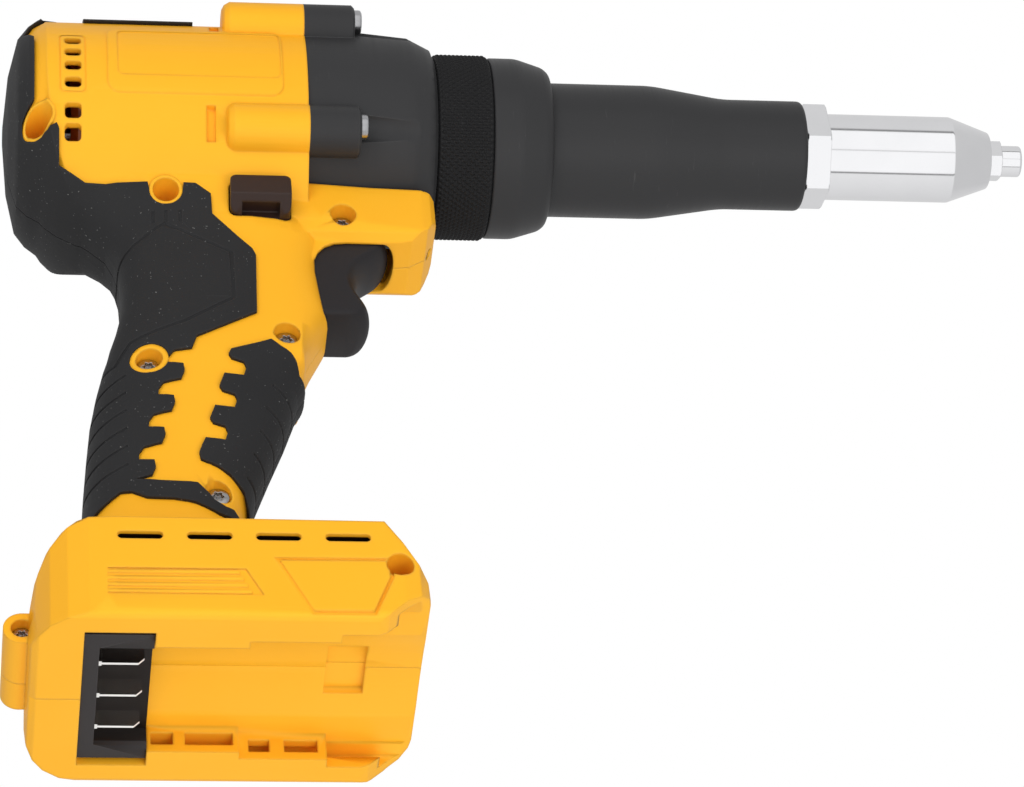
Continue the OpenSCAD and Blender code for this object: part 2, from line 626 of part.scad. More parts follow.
module jaw(a) place() color(steel) translate([0, 0, axis_h]) rotate([a, 0, 0])
    translate([0, 0, -axis_h]) intersection() {
        difference() {
            along_x(jaw_x0, jaw_x1, cone_r(jaw_x0) - run / cos(cone_a), cone_r(jaw_x1) - run / cos(cone_a));
            along_x(jaw_x0 - 1, jaw_x1 + 1, mandrel_r - 0.3);
        }
        translate([jaw_x0 - 1, 0, axis_h]) rotate([90, 0, 90]) linear_extrude(20)
            polygon([[0, 0.7], [16.5, 10.2], [16.5, 30], [-16.5, 30], [-16.5, 10.2]]);
    }
module jaw_1() jaw(0);
module jaw_2() jaw(120);
module jaw_3() jaw(240);
pusher_x = 259;
module jaw_pusher() place() color(steel) difference() {
    union() {
        along_x(pusher_x, jaw_x0 - run, 3);
        along_x(pusher_x, pusher_x + 1.5, cone_r0 - run);
        along_x(pusher_x + 3, jaw_x0 - run, 5.4);
    }
    along_x(pusher_x - 1, jaw_x0, 1.9);
}
module helix(x0, x1, r, wire, turns) {
    steps = turns * 20;
    k = 8;
    pts = [for (i = [0 : steps]) let (t = i * 360 / 20, x = x0 + (x1 - x0) * i / steps)
        for (j = [0 : k - 1]) let (w = r + wire * cos(j * 360 / k))
            [x + wire * sin(j * 360 / k), w * sin(t), w * cos(t)]];
    sides = [for (i = [0 : steps - 1]) for (j = [0 : k - 1])
        let (a = i * k + j, b = i * k + (j + 1) % k)
        each [[a, b, a + k], [b, b + k, a + k]]];
    end = steps * k;
    caps = concat([for (j = [1 : k - 2]) [0, j + 1, j]],
        [for (j = [1 : k - 2]) [end, end + j, end + j + 1]]);
    polyhedron(points = pts, faces = concat(sides, caps));
}
module jaw_spring() place() color(steel) translate([0, 0, axis_h])
    helix(250.6 + fit, pusher_x - 0.6 - fit, 4.4, 0.6, 4);

// pulling screw with its rod
screw_x = 133;
module pull_screw() place() color(steel) difference() {
    union() {
        along_x(screw_x, 163, screw_r);
        along_x(162, 250, rod_r);
    }
    along_x(206, 251, 2);
    box(key_x - key_r - run, key_x + key_r + run + stroke, -key_r - run, key_r + run, axis_h + 2, axis_h + 9);
}

// planet gears with straight-sided teeth
function gear_pts(n, add, ded, gap) = let (rp = gear_m * n / 2, h = 90 / n - gap / rp * 57.3)
    [for (i = [0 : n - 1]) let (c = i * 360 / n) each [
        [(rp - ded) * cos(c - h * 1.5), (rp - ded) * sin(c - h * 1.5)],
        [(rp + add) * cos(c - h * 0.48), (rp + add) * sin(c - h * 0.48)],
        [(rp + add) * cos(c + h * 0.48), (rp + add) * sin(c + h * 0.48)],
        [(rp - ded) * cos(c + h * 1.5), (rp - ded) * sin(c + h * 1.5)]]];
add = 0.72 * gear_m;
ded = 1.1 * gear_m;
module gear_x(x0, x1, pts, turn = 0) translate([x0, 0, axis_h]) rotate([90, 0, 90])
    linear_extrude(x1 - x0) rotate(turn) polygon(pts);
module gear(x0, x1, turn) gear_x(x0, x1, gear_pts(sun_n, add, ded, tooth_gap), turn);
module ring_gear() place() color(steel) difference() {
    along_x(83.75, 107.5, ring_gear_r);
    gear_x(83, 108, gear_pts(ring_n, ded, add, -tooth_gap), 180 / ring_n);
}
pin_r = 2;
module spin(a) translate([0, 0, axis_h]) rotate([a, 0, 0]) translate([0, 0, -axis_h]) children();
module planet(x0, x1, a) place() color(steel) spin(a) translate([0, orbit, 0]) difference() {
    gear(x0, x1, 180 / planet_n);
    along_x(x0 - 1, x1 + 1, pin_r + fit);
}
module pins(x0, x1) for (a = [0, 120, 240]) spin(a) translate([0, orbit, 0]) along_x(x0, x1, pin_r);
module planet_1a() planet(85, 92, 0);
module planet_1b() planet(85, 92, 120);
module planet_1c() planet(85, 92, 240);
module planet_2a() planet(97.4, 104.4, 0);
module planet_2b() planet(97.4, 104.4, 120);
module planet_2c() planet(97.4, 104.4, 240);
module carrier_1() place() color(steel) {
    along_x(93.2, 96.2, orbit + 4.5);
    pins(85.2, 94);
    gear(96, 104.6, 0);
}
module drive_nut() place() color(bronze) difference() {
    union() {
        along_x(105.4, 109.5, orbit + 4.5);
        pins(97.6, 106);
        along_x(109, 132, nut_r);
        along_x(131.5, 136, snout_bore - 0.9);
        along_x(135.5, sleeve_x - 0.5, nut_tail_r);
    }
    along_x(111, sleeve_x, screw_r + fit);
}
module drive_bearing() place() color(steel) difference() {
    along_x(112, 120, race_r);
    along_x(111, 121, nut_r + fit);
    for (x = [111.6, 119.6]) difference() {
        along_x(x, x + 0.8, race_r - 2);
        along_x(x - 1, x + 2, nut_r + 2);
    }
}
module thrust_bearing() place() color(steel) difference() {
    along_x(136 + run, sleeve_x, snout_bore - fit);
    along_x(130, 150, nut_tail_r + run);
    difference() {
        along_x(138.2, 139.2, 2 * snout_bore);
        along_x(138, 140, snout_bore - 1.5);
    }
}

// motor
stack_x0 = 24;
stack_x1 = 56;
module rotor() place() color(steel) {
    along_x(9, 86, shaft_r);
    along_x(stack_x0, stack_x1, rotor_r);
    gear(84.6, 92.6, 0);
}
module fan() place() color(black) difference() {
    union() {
        along_x(62, 66, 6);
        along_x(62, 63.4, stator_r - 2);
        for (a = [0 : 40 : 320]) spin(a) box(63, 68.6, -0.8, 0.8, axis_h + 8, axis_h + stator_r - 2.6);
    }
    along_x(61, 70, shaft_r + fit);
}
module stator() place() color(steel) difference() {
    along_x(stack_x0, stack_x1, stator_r);
    along_x(20, 60, rotor_r + 0.5);
}
module coil_end(x0, x1) for (a = [0 : 60 : 300]) spin(a) translate([x0, 0, axis_h])
    rotate([0, 90, 0]) rotate([0, 0, -22]) rotate_extrude(angle = 44)
        polygon([for (p = [[0.63, 0], [0.911, 0], [0.911, 0.6], [0.852, 1], [0.689, 1], [0.63, 0.6]])
            [stator_r * p[0], (x1 - x0) * p[1]]]);
module stator_coils() place() color(copper) {
    coil_end(stack_x1 + fit, stack_x1 + 5);
    mirror_x(stack_x0 - fit) coil_end(0, 5);
}
module mirror_x(x) translate([x, 0, 0]) mirror([1, 0, 0]) children();
module ball_race(x0, x1, r_in, r_out) difference() {
    along_x(x0, x1, r_out);
    along_x(x0 - 1, x1 + 1, r_in);
    for (x = [x0 - 0.4, x1 - 0.4]) difference() {
        along_x(x, x + 0.8, r_out - 1.6);
        along_x(x - 1, x + 2, r_in + 1.6);
    }
}
module rear_bearing() place() color(steel) ball_race(8.7, 15.5, shaft_r + fit, bearing_r);
module front_bearing() place() color(steel) ball_race(71.6, 77.4, shaft_r + fit, bearing_r);

// trigger, switch and selector
stem_r = 3;
stem_z = up(140);
module trigger_form() {
    k = 15;
    n = len(trigger_rows);
    pts = [for (r = trigger_rows) let (z = up(r[0])) each
        [for (p = concat([[trigger_x, trigger_hw], [trigger_x, -trigger_hw]],
            trigger_arc(r[1], trigger_hw, trigger_bulge))) [p[0], p[1], z]]];
    sides = [for (j = [0 : n - 2]) for (i = [0 : k - 1]) let (a = j * k + i, b = j * k + (i + 1) % k)
        each [[a, a + k, b], [b, a + k, b + k]]];
    caps = [for (i = [1 : k - 2]) each [[0, i, i + 1], [(n - 1) * k, (n - 1) * k + i + 1, (n - 1) * k + i]]];
    polyhedron(points = pts, faces = concat(sides, caps));
}
module trigger() place() color(black) {
    trigger_form();
    translate([66, 0, stem_z]) rotate([0, 90, 0]) cylinder(h = trigger_x + 1 - 66, r = stem_r);
}
switch_x1 = trigger_x - trigger_travel - 0.6;
module trigger_switch() place() color(black) difference() {
    union() {
        box(47, switch_x1, -switch_hw, switch_hw, up(124), up(154));
        box(50, 68, -9, 9, up(118), up(125));
    }
    translate([58, 0, stem_z]) rotate([0, 90, 0]) cylinder(h = 20, r = stem_r + fit);
}
module trigger_spring() place() color(steel) translate([0, 0, stem_z])
    helix(switch_x1 + 0.6 + fit, trigger_x - 0.6 - fit, 4.6, 0.6, 4);
selector_y = -(selector_l + selector_travel) / 2;
module selector() place() color(black) difference() {
    side_prism(selector_pts(0), selector_y, selector_y + selector_l);
    x_prism([[selector_y - 1, up(166)], [selector_y + 5.4, up(161.2)], [selector_y + 5.4, up(150)],
        [selector_y - 1, up(150)]], 60, 90);
    box(66.8, 77.6, selector_y + 2.2, selector_y + 7, up(150), up(164.6));
}

// electrics in the foot
module control_board() place() color([0.1, 0.35, 0.2]) {
    box(30, 86, -foot_hw + 14, foot_hw - 14, 18, 19.6);
    for (x = [33, 82]) for (y = [17 - foot_hw, foot_hw - 17]) translate([x, y, bay_h + wall + fit])
        cylinder(h = 18.5 - bay_h - wall - fit, r = 2);
    box(38, 56, -14, 14, 19, 27);
    for (y = [-11, 0, 11]) translate([70, y, 19]) cylinder(h = 9, r = 4);
}
module led_place() translate([119.5, 0, axis_h - 42.5]) rotate([0, 110, 0]) children();
module led_lens() place() color([0.95, 0.97, 1])
    led_place() cylinder(h = 5.4, r = led_r - fit, center = true);
blade_x = bay_x + 4.2;
blade_z = 6.8;
blade_gap = (rail_hw - 7.6) * 0.652;
module terminal_block() place() color(black) difference() {
    intersection() {
        box(bay_x, 38.4, -rail_hw + 2 + fit, rail_hw - 2 - fit, 1, bay_h);
        union() {
            box(10, 50, -foot_hw, foot_hw, 0, bay_h - 3 - fit);
            translate([0, 0, bay_h - 55]) rotate([0, 90, 0]) cylinder(h = 60, r = 55 - fit, $fn = 96);
        }
    }
    box(blade_x, 50, -rail_hw + 7.6, rail_hw - 7.6, 0, blade_z);
}
module terminal_blades() place() color(steel) for (y = [-blade_gap, 0, blade_gap]) {
    side_prism([[blade_x, 1.6], [34.6, 1.6], [36.2, 3.2], [36.2, blade_z], [blade_x, blade_z]],
        y - 0.4, y + 0.4);
    box(blade_x, blade_x + 0.8, y - 0.9, y + 0.9, 1.6, blade_z);
}

housing_right();
housing_left();
rear_grip_right();
rear_grip_left();
front_grip_right();
front_grip_left();
top_pad();
housing_screws();
gearbox_case();
gearbox_screws();
gearbox_plate();
knurled_ring();
front_sleeve();
nose_sleeve();
nosepiece();
jaw_case();
jaw_1();
jaw_2();
jaw_3();
jaw_pusher();
jaw_spring();
pull_screw();
guide_key();
drive_nut();
drive_bearing();
thrust_bearing();
ring_gear();
carrier_1();
planet_1a();
planet_1b();
planet_1c();
planet_2a();
planet_2b();
planet_2c();
rotor();
fan();
stator();
stator_coils();
rear_bearing();
front_bearing();
trigger();
trigger_switch();
trigger_spring();
selector();
control_board();
led_lens();
terminal_block();
terminal_blades();
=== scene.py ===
# %% [markdown]
# # A battery rivet tool for the studio
# The tool is a pistol: a yellow moulded body with soft black grips, a black barrel, a bright
# steel nose and a foot that a battery slides into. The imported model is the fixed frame. Its
# sizes are final, so this lesson only dresses it: finer meshes where the eye goes first, and
# finishes made of nodes.

# %% Load the frame
import math

import bmesh
import bpy
import numpy as np
from mathutils import Matrix, Vector


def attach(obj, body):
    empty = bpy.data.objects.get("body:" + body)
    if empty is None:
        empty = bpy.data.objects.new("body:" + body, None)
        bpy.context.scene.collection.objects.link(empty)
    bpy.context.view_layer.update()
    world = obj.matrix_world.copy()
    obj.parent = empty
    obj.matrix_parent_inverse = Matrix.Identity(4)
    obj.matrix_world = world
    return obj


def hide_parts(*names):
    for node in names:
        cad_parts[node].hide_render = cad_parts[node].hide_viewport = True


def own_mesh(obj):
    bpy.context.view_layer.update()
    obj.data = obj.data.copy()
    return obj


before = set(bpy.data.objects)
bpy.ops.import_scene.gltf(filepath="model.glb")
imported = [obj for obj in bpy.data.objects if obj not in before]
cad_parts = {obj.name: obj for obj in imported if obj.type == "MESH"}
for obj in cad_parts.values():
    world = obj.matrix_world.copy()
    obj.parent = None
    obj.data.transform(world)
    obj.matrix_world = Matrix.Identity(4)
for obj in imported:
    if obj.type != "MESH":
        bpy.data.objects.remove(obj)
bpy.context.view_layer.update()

MM = 0.001
X_MID = 150.3      # the tool is drawn from its rear end, the frame from its middle
AXIS_Z = 208.0     # height of the barrel's axis

# %% [markdown]
# ## Meshes from grids
# Most pieces here are turned or moulded, so their surfaces are grids: one direction runs
# along a profile, the other round an axis or across a width. A modifier stack could do the
# same, but whole arrays keep every size in millimetres and in plain sight.

# %% Grid helpers
FULL_TURN = 2 * np.pi
CORNER_SHARE = 0.48    # a corner's curve takes less than half of each side


def to_row(points):
    """Tool millimetres, x counted from the rear, to metres about the middle of the foot."""
    return (np.asarray(points, float) - [X_MID, 0.0, 0.0]) * MM


def grid_faces(rows, cols, wrap_rows, wrap_cols):
    """Corner (i, j) is joined with (i+1, j), (i+1, j+1) and (i, j+1); wrapping closes a side."""
    i = np.arange(rows if wrap_rows else rows - 1)[:, None]
    j = np.arange(cols if wrap_cols else cols - 1)[None, :]
    below, beside = (i + 1) % rows, (j + 1) % cols
    quads = np.broadcast_arrays(i * cols + j, below * cols + j,
                                below * cols + beside, i * cols + beside)
    return np.stack(quads, -1).reshape(-1, 4)


def rounded(points, radius, steps):
    """Each corner of a closed loop becomes a parabola from one radius before it to one after."""
    p = np.asarray(points, float)
    back, fore = np.roll(p, 1, 0) - p, np.roll(p, -1, 0) - p
    back_len, fore_len = np.hypot(*back.T), np.hypot(*fore.T)
    reach = np.minimum(radius, CORNER_SHARE * np.minimum(back_len, fore_len))
    a = p + back * (reach / back_len)[:, None]
    b = p + fore * (reach / fore_len)[:, None]
    s = np.linspace(0, 1, steps)[None, :, None]
    curve = (1 - s) ** 2 * a[:, None] + 2 * s * (1 - s) * p[:, None] + s ** 2 * b[:, None]
    return curve.reshape(-1, 2)


def around(x, r, t):
    """Rings round the barrel's axis, closed both ways: y = r sin t, z = axis + r cos t."""
    return np.stack([x + 0 * t, r * np.sin(t), AXIS_Z + r * np.cos(t)], -1), True, True


def turned(loop, count):
    """A closed loop of (x, radius) carried round the barrel's axis."""
    t = np.linspace(0, FULL_TURN, count, endpoint=False)[None, :]
    return around(loop[:, :1], loop[:, 1:], t)


# %% [markdown]
# ## Pieces that ride the frame
# A few helpers keep that order the same for all pieces.

# %% Piece helpers
WELD = 1e-6    # metres; corners of a grid nearer than this become one


def weld(mesh, reach, outward):
    """Joins corners nearer than the reach, and turns the faces of a new mesh outwards."""
    work = bmesh.new()
    work.from_mesh(mesh)
    bmesh.ops.remove_doubles(work, verts=work.verts, dist=reach)
    if outward:
        bmesh.ops.recalc_face_normals(work, faces=work.faces)
    work.to_mesh(mesh)
    work.free()


def smooth(mesh, sharp):
    """Soft shading everywhere but on edges that fold by more than the given degrees."""
    mesh.shade_smooth()
    mesh.set_sharp_from_angle(angle=math.radians(sharp))


def put_in(name, mesh, finish, body, nodes, even_light=False):
    """Hangs a mesh in the scene as a piece that rides its body in place of some nodes."""
    mesh.materials.clear()
    mesh.materials.append(finish.material)
    piece = bpy.data.objects.new(name, mesh)
    bpy.context.collection.objects.link(piece)
    if even_light:
        piece.modifiers.new("even_light", "WEIGHTED_NORMAL").keep_sharp = True
    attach(piece, body)
    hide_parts(*nodes)
    print(name, len(mesh.polygons), "faces")
    return piece


def make_piece(name, grids, finish, body, nodes, sharp=32, capped=0):
    """Joins grids of (points, wrap rows, wrap columns) into one piece.

    As many of the first grids as capped says get a flat face on their first and last row.
    """
    points, faces, start = [], [], 0
    for number, (grid, wrap_rows, wrap_cols) in enumerate(grids):
        rows, cols = grid.shape[:2]
        points.append(grid.reshape(-1, 3))
        faces += (grid_faces(rows, cols, wrap_rows, wrap_cols) + start).tolist()
        if number < capped:
            faces += [list(range(start, start + cols)),
                      list(range(start + (rows - 1) * cols, start + rows * cols))]
        start += rows * cols
    mesh = bpy.data.meshes.new(name)
    mesh.from_pydata(to_row(np.concatenate(points)).tolist(), [], faces)
    weld(mesh, WELD, outward=True)
    smooth(mesh, sharp)
    return put_in(name, mesh, finish, body, nodes)


# %% [markdown]
# ## Shader sums in plain Python
# A finish is a recipe of a few sums: a base, a little noise, a mask for the edges. Wiring Math
# nodes by hand hides the recipe, so a small class wraps a socket and lets the usual signs add
# the nodes.

# %% Colours and sockets
def colour(red, green, blue):
    """Picture values from 0 to 255 to the linear numbers that a shader reads."""
    c = np.array([red, green, blue]) / 255
    linear = np.where(c <= 0.04045, c / 12.92, ((c + 0.055) / 1.055) ** 2.4)
    return (*linear.tolist(), 1.0)


class Socket:
    """An output socket; sums on it become Math nodes."""

    def __init__(self, finish, socket):
        self.finish, self.socket = finish, socket

    def sum(self, operation, first, second):
        return self.finish.node("ShaderNodeMath", {"operation": operation}, {0: first, 1: second})

    def __add__(self, other):
        return self.sum("ADD", self, other)

    def __sub__(self, other):
        return self.sum("SUBTRACT", self, other)

    def __rsub__(self, other):
        return self.sum("SUBTRACT", other, self)

    def __mul__(self, other):
        return self.sum("MULTIPLY", self, other)

    __radd__ = __add__
    __rmul__ = __mul__


# %% [markdown]
# ## One method for every other node
# Noise, ramps and shaders all come from one method. It takes the node's type, its settings and
# the values or links of its sockets. The short methods after it only give names to the nodes
# that the recipes use most.

# %% Node trees
class Finish:
    """A node tree under construction, either a material's or the world's."""

    LEAN_LOW, LEAN_HIGH = 0.015, 0.18    # where the edge mask begins and where it is full

    def __init__(self, name, owner=None):
        self.material = owner or bpy.data.materials.new(name)
        self.material.use_nodes = True
        self.tree = self.material.node_tree
        self.tree.nodes.clear()

    def node(self, kind, settings=None, sockets=None, out=0):
        """Any node: settings first, then sockets by name or number; gives back one output."""
        made = self.tree.nodes.new(kind)
        for key, value in (settings or {}).items():
            if key == "stops":
                ends = made.color_ramp.elements
                for place, _ in value[2:]:
                    ends.new(place)
                for stop, (place, shade) in zip(ends, value):
                    stop.position, stop.color = place, (shade, shade, shade, 1.0)
            else:
                setattr(made, key, value)
        for key, value in (sockets or {}).items():
            if isinstance(value, Socket):
                self.tree.links.new(value.socket, made.inputs[key])
            else:
                made.inputs[key].default_value = value
        return Socket(self, made.outputs[out]) if made.outputs else None

    def place(self):
        """Where the shaded point lies in the tool, in metres."""
        return self.node("ShaderNodeTexCoord", out="Object")

    def parts(self, vector):
        """The x, y and z of a vector, each as a socket of its own."""
        return [self.node("ShaderNodeSeparateXYZ", {}, {"Vector": vector}, out=axis)
                for axis in "XYZ"]

    def stretch(self, vector, x, y, z):
        """The vector with its three parts multiplied."""
        return self.node("ShaderNodeMapping", {}, {"Vector": vector, "Scale": (x, y, z)})

    def noise(self, vector, scale, detail=3.0, rough=0.55):
        """Clouds between 0 and 1, with as many cells to a metre as the scale says."""
        return self.node("ShaderNodeTexNoise", {}, {"Vector": vector, "Scale": scale,
                                                    "Detail": detail, "Roughness": rough})

    def ramp(self, value, start, end):
        """0 at the start, 1 at the end and beyond, straight between; the end may be the lower."""
        return self.node("ShaderNodeMapRange", {"clamp": True},
                         {"Value": value, "From Min": start, "From Max": end})

    def mix(self, factor, first, second):
        """The first colour where the factor is 0, the second where it is 1."""
        return self.node("ShaderNodeMix", {"data_type": "RGBA"}, {0: factor, 6: first, 7: second},
                         out=2)

    def edges(self, radius):
        """The normal of a slightly rounded copy, and how far it leans from the true one."""
        soft = self.node("ShaderNodeBevel", {"samples": 4}, {"Radius": radius})
        true = self.node("ShaderNodeNewGeometry", out="Normal")
        lean = self.node("ShaderNodeVectorMath", {"operation": "DOT_PRODUCT"},
                         {0: soft, 1: true}, out="Value")
        return soft, self.ramp(1.0 - lean, self.LEAN_LOW, self.LEAN_HIGH)

    def bump(self, height, distance, strength, normal):
        """The normal, tilted by the slopes of a height."""
        return self.node("ShaderNodeBump", {}, {"Height": height, "Distance": distance,
                                                "Strength": strength, "Normal": normal})

    def close(self, **sockets):
        """Principled shader with the given sockets, wired to the output."""
        named = {key.replace("_", " ").title().replace("Ior", "IOR"): value
                 for key, value in sockets.items()}
        shader = self.node("ShaderNodeBsdfPrincipled", {}, named)
        self.node("ShaderNodeOutputMaterial", {}, {"Surface": shader})
        return self


# %% [markdown]
# ## Moulded plastics and rubber
# The yellow shells are glass-filled nylon: a fine spark texture from the mould, slightly
# cloudy colour, and edges rubbed a little brighter. The soft grips are matt and darker in
# their pores. Rounding each moulded edge in the mesh would cost far more faces than it shows,
# so the shader's bevel rounds the light there. Deep openings are the other trick: one box in
# the recipe paints shade into the colour of what lies inside it, as dark as a hollow without
# light.

# %% Plastic recipe
CLOUD, SPECK, SCUFF = 26.0, 1300.0, (60.0, 60.0, 210.0)    # noise cells to a metre
SCUFF_RAMP, SPECK_RAMP = (0.60, 0.72), (0.73, 0.78)        # where in the noise marks begin
EDGE_WEAR, GRAIN_STRENGTH = 0.35, 0.35
# the second colour is painted shade: the dark of an unlit hollow, put inside deep openings
SPECK_GREY, PAINTED_HOLLOW_SHADE = colour(150, 150, 148), colour(18, 10, 6)
END_FADE, SIDE_FADE, RIM_FADE = MM, 0.3 * MM, 0.1 * MM     # how softly a box of painted shade begins


def painted_shade_box(x0, x1, side, z0, z1):
    """A box of painted shade across the tool's middle, from tool millimetres to metres."""
    return (x0 - X_MID) * MM, (x1 - X_MID) * MM, side * MM, z0 * MM, z1 * MM


def in_box(f, at, box):
    """1 inside the box and 0 outside: the product of one ramp for each of its sides."""
    x0, x1, side, z0, z1 = box
    x, y, z = f.parts(at)
    return (f.ramp(y * y, side * side, (side - SIDE_FADE) ** 2) * f.ramp(x, x0, x0 + END_FADE)
            * f.ramp(x, x1, x1 - END_FADE) * f.ramp(z, z0, z0 + RIM_FADE)
            * f.ramp(z, z1, z1 - RIM_FADE))


def moulded(name, base, deep, rough, grain, depth, edge_tint, edge_radius=0.6 * MM, gloss=0.3,
            dust=0.0, shade_in_box=None):
    """Cloudy base colour, spark grain in the bump, worn and glossier edges, a few pale specks, and
    painted shade inside a box if one is given.
    """
    f = Finish(name)
    at = f.place()
    soft, edge = f.edges(edge_radius)
    cloud = f.noise(at, CLOUD, detail=4.0)
    fine = f.noise(at, grain, detail=2.0, rough=0.7)
    scuff = f.ramp(f.noise(f.stretch(at, *SCUFF), 3.0, detail=6.0, rough=0.7), *SCUFF_RAMP)
    speck = f.ramp(f.noise(at, SPECK, detail=1.0), *SPECK_RAMP)
    tone = f.mix(cloud, base, deep)
    tone = f.mix(edge * EDGE_WEAR, tone, edge_tint)
    tone = f.mix(speck * dust, tone, SPECK_GREY)
    # painted shade: inside the box the colour goes dark, as an unlit hollow looks
    if shade_in_box:
        tone = f.mix(in_box(f, at, shade_in_box), tone, PAINTED_HOLLOW_SHADE)
    shine = rough + 0.10 * (cloud - 0.5) + 0.12 * (fine - 0.5) - 0.08 * edge - 0.05 * scuff
    return f.close(base_color=tone, roughness=shine, specular_ior_level=gloss,
                   normal=f.bump(fine, depth, GRAIN_STRENGTH, soft))


# %% Plastics and rubber
# the two boxes of painted shade: x from and to, half the width, z from and to
FOOT_SLOT_SHADE = painted_shade_box(27.5, 96.0, 34.9, 25.3, 28.1)
TERMINAL_WELL_SHADE = painted_shade_box(18.0, 40.4, 27.0, 2.4, 13.0)
# painted shade: the yellow is darkened inside the foot's slots, as unlit hollows
yellow = moulded("yellow_nylon", colour(255, 186, 42), colour(252, 179, 34), rough=0.44,
                 grain=2600.0, depth=0.08 * MM, edge_tint=colour(255, 202, 78),
                 edge_radius=1.1 * MM, gloss=0.25, shade_in_box=FOOT_SLOT_SHADE)
rubber = moulded("grip_rubber", colour(44, 44, 45), colour(36, 36, 37), rough=0.68,
                 grain=1700.0, depth=0.16 * MM, edge_tint=colour(74, 74, 75),
                 edge_radius=0.8 * MM, gloss=0.2, dust=0.5)
black_nylon = moulded("black_nylon", colour(36, 34, 36), colour(30, 28, 30), rough=0.50,
                      grain=2400.0, depth=0.08 * MM, edge_tint=colour(72, 69, 69),
                      edge_radius=0.8 * MM)
selector_brown = moulded("selector_nylon", colour(47, 31, 26), colour(39, 26, 22), rough=0.44,
                         grain=2400.0, depth=0.08 * MM, edge_tint=colour(84, 72, 68),
                         edge_radius=0.8 * MM, gloss=0.35)
# painted shade: the terminal plastic is darkened inside its well, as an unlit hollow
brown_black = moulded("terminal_plastic", colour(52, 48, 48), colour(44, 41, 41), rough=0.52,
                      grain=2200.0, depth=0.06 * MM, edge_tint=colour(104, 98, 98),
                      edge_radius=0.4 * MM, shade_in_box=TERMINAL_WELL_SHADE)
board_green = moulded("board_lacquer", colour(24, 92, 56), colour(16, 74, 44), rough=0.35,
                      grain=1500.0, depth=0.03 * MM, edge_tint=colour(80, 130, 96))
print("finishes after the plastics:", len(bpy.data.materials))

# %% [markdown]
# ## Metals
# The gearbox case and the sleeves are blackened: satin, with hair scratches that run round
# the barrel where a lathe and a cloth have gone. The nose is polished bright. Scratches are
# noise squeezed along the barrel, so they become rings. The contact blades are thin plates,
# mirrors on their broad sides and pale where they were cut, so there the facing decides.

# %% Metal recipes
HAIR, PATCH = (900.0, 90.0, 90.0), 55.0           # noise cells to a metre
HAIR_RAMP, PATCH_RAMP = (0.62, 0.70), (0.45, 0.7)    # where in the noise scratches begin
BLACK_EDGE, BRIGHT_EDGE = 0.5 * MM, 0.3 * MM
RUBBED = colour(214, 215, 218)
CUT_RAMP = (0.6, 0.3)    # square of the sideways part of the normal, from face to cut edge


def blackened(name, base, worn, rough, ring):
    """Black oxide with turning rings, stray scratches and rubbed edges."""
    f = Finish(name)
    at = f.place()
    soft, edge = f.edges(BLACK_EDGE)
    rings = f.noise(f.stretch(at, ring, 18.0, 18.0), 1.0, detail=3.0, rough=0.6)
    hair = f.ramp(f.noise(f.stretch(at, *HAIR), 1.0, detail=5.0, rough=0.75), *HAIR_RAMP)
    hair = hair * f.ramp(f.noise(at, PATCH, detail=2.0), *PATCH_RAMP)
    tone = f.mix(edge * 0.45 + hair * 0.25, base, worn)
    return f.close(base_color=tone, metallic=0.5 * edge, specular_ior_level=0.14,
                   roughness=rough + 0.16 * (rings - 0.5) - 0.10 * edge + 0.1 * hair,
                   normal=f.bump(rings + hair, 0.04 * MM, 0.4, soft))


def bright(name, base, rough, ring, depth=0.01 * MM):
    """Polished or machined metal: rings from the lathe in roughness and bump."""
    f = Finish(name)
    at = f.place()
    soft, edge = f.edges(BRIGHT_EDGE)
    rings = f.noise(f.stretch(at, ring, 12.0, 12.0), 1.0, detail=2.0, rough=0.5)
    smear = f.noise(at, 70.0)
    tone = f.mix(smear * 0.3 + edge * 0.2, base, RUBBED)
    return f.close(base_color=tone, metallic=1.0,
                   roughness=rough + 0.06 * (rings - 0.5) + 0.05 * (smear - 0.5),
                   normal=f.bump(rings, depth, 0.5, soft))


def plated(name, base, dull, rough):
    """Thin plates: mirror faces that look across the tool, pale cut edges that look elsewhere."""
    f = Finish(name)
    aside = f.parts(f.node("ShaderNodeTexCoord", out="Normal"))[1]
    cut = f.ramp(aside * aside, *CUT_RAMP)
    smear = f.noise(f.place(), 300.0)
    return f.close(base_color=f.mix(smear * 0.3, base, dull), metallic=1.0 - cut,
                   roughness=rough + 0.08 * (smear - 0.5))


# %% Metals
case_black = blackened("case_black", colour(54, 54, 55), colour(108, 108, 108),
                       rough=0.46, ring=700.0)
sleeve_black = blackened("sleeve_black", colour(53, 53, 54), colour(110, 110, 110),
                         rough=0.40, ring=2400.0)
knurl_black = blackened("knurl_black", colour(27, 27, 28), colour(84, 84, 84),
                        rough=0.44, ring=1200.0)
screw_steel = bright("screw_steel", colour(168, 166, 164), rough=0.24, ring=900.0)
polished = bright("polished_steel", colour(250, 250, 252), rough=0.09, ring=1800.0)
machined = bright("machined_steel", colour(176, 176, 178), rough=0.28, ring=2600.0,
                  depth=0.03 * MM)
bronze = bright("nut_bronze", colour(196, 158, 96), rough=0.30, ring=2000.0, depth=0.03 * MM)
copper = bright("coil_copper", colour(200, 116, 62), rough=0.38, ring=900.0, depth=0.1 * MM)
contact = plated("contact_plate", colour(244, 242, 238), colour(206, 204, 200), rough=0.22)
print("finishes after the metals:", len(bpy.data.materials))

# %% [markdown]
# ## The lip below the trigger
# The housing runs out into a lip where the handle meets the trigger. On the real tool it ends
# higher and is rounder in plan than in the frame. Cutting it with a Boolean would leave a raw
# edge, so the corners that lie there are drawn back towards the lip's root instead.

# %% Lip
LIP_ROOT, HANDLE_HW, LEAST_SHARE = 82.2, 16.9, 0.15
